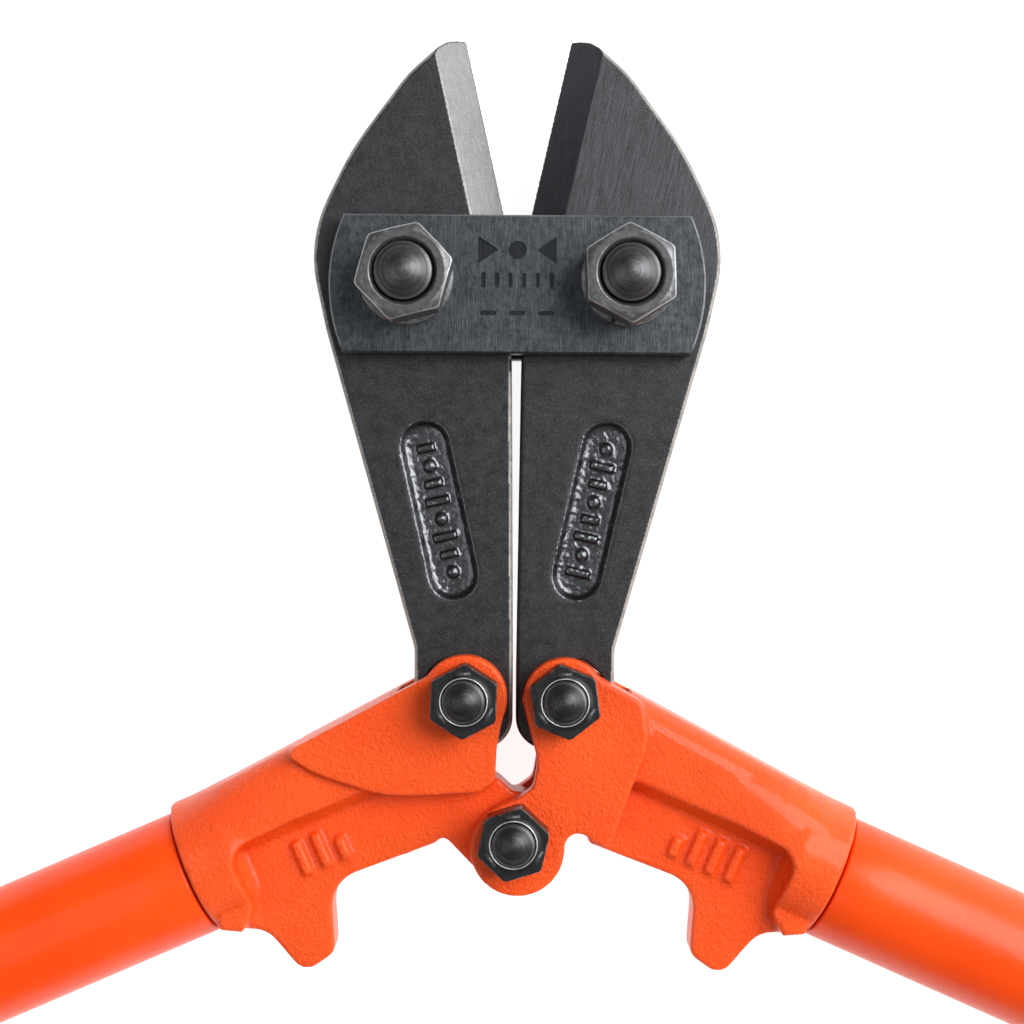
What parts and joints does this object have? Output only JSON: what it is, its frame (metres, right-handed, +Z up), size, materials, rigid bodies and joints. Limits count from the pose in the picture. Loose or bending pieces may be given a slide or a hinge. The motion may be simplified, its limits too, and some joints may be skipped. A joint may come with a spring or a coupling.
{
  "type": "bolt cutters",
  "caption": "Long-handled bolt cutters: two forged jaws on link plates, driven through forged handle ends by tubular handles with rubber grips.",
  "frame": {"origin": "middle of the open tool's outline, on the surface that it lies on", "axes": "+Z up through the tool's thickness, +Y towards the jaw tips, +X to the right with the nuts facing up"},
  "size_m": [0.8672, 0.3588, 0.0484],
  "materials": {
    "jaw_steel": "black oxide on forged steel, ground bevels",
    "plate_steel": "blued and brushed steel",
    "bolt_steel": "blackened steel, worn bright at the edges",
    "orange_paint": "orange powder coat",
    "grip_rubber": "moulded, matt"
  },
  "bodies": {
    "head": {"link_plate_front": "plate_steel", "link_plate_rear": "plate_steel", "jaw_bolt_left": "bolt_steel", "jaw_bolt_right": "bolt_steel", "jaw_spring_washer_left": "bolt_steel", "jaw_spring_washer_right": "bolt_steel", "jaw_nut_left": "bolt_steel", "jaw_nut_right": "bolt_steel"},
    "left_jaw": {"jaw_left": "jaw_steel"},
    "right_jaw": {"jaw_right": "jaw_steel"},
    "centre_pivot": {"centre_bolt": "bolt_steel", "centre_nut": "bolt_steel"},
    "left_handle": {"handle_end_left": "orange_paint", "handle_tube_left": "orange_paint", "grip_left": "grip_rubber", "tail_bolt_left": "bolt_steel", "tail_nut_left": "bolt_steel"},
    "right_handle": {"handle_end_right": "orange_paint", "handle_tube_right": "orange_paint", "grip_right": "grip_rubber", "tail_bolt_right": "bolt_steel", "tail_nut_right": "bolt_steel"}
  },
  "joints": [
    {"name": "left_jaw_hinge", "type": "hinge", "parent": "head", "child": "left_jaw", "pos_m": [-0.0244, 0.12451, 0.0195], "axis": [0, 0, -1], "range_deg": [0, 12.65]},
    {"name": "right_jaw_hinge", "type": "hinge", "parent": "head", "child": "right_jaw", "pos_m": [0.0244, 0.12451, 0.0195], "axis": [0, 0, 1], "range_deg": [0, 12.65]},
    {"name": "centre_slide", "type": "slide", "parent": "head", "child": "centre_pivot", "axis": [0, 1, 0], "range_m": [0, 0.02162]},
    {"name": "right_handle_hinge", "type": "hinge", "parent": "centre_pivot", "child": "right_handle", "pos_m": [0, 0.00121, 0.0195], "axis": [0, 0, -1], "range_deg": [0, 55.2]},
    {"name": "left_handle_hinge", "type": "hinge", "parent": "centre_pivot", "child": "left_handle", "pos_m": [0, 0.00121, 0.0195], "axis": [0, 0, 1], "range_deg": [0, 55.2]}
  ],
  "couplings": [
    {"joint": "left_jaw_hinge", "follows": "right_handle_hinge", "ratio": 0.2288},
    {"joint": "right_jaw_hinge", "follows": "right_handle_hinge", "ratio": 0.2288},
    {"joint": "centre_slide", "follows": "right_handle_hinge", "m_per_rad": 0.022399},
    {"joint": "left_handle_hinge", "follows": "right_handle_hinge", "ratio": 1}
  ]
}
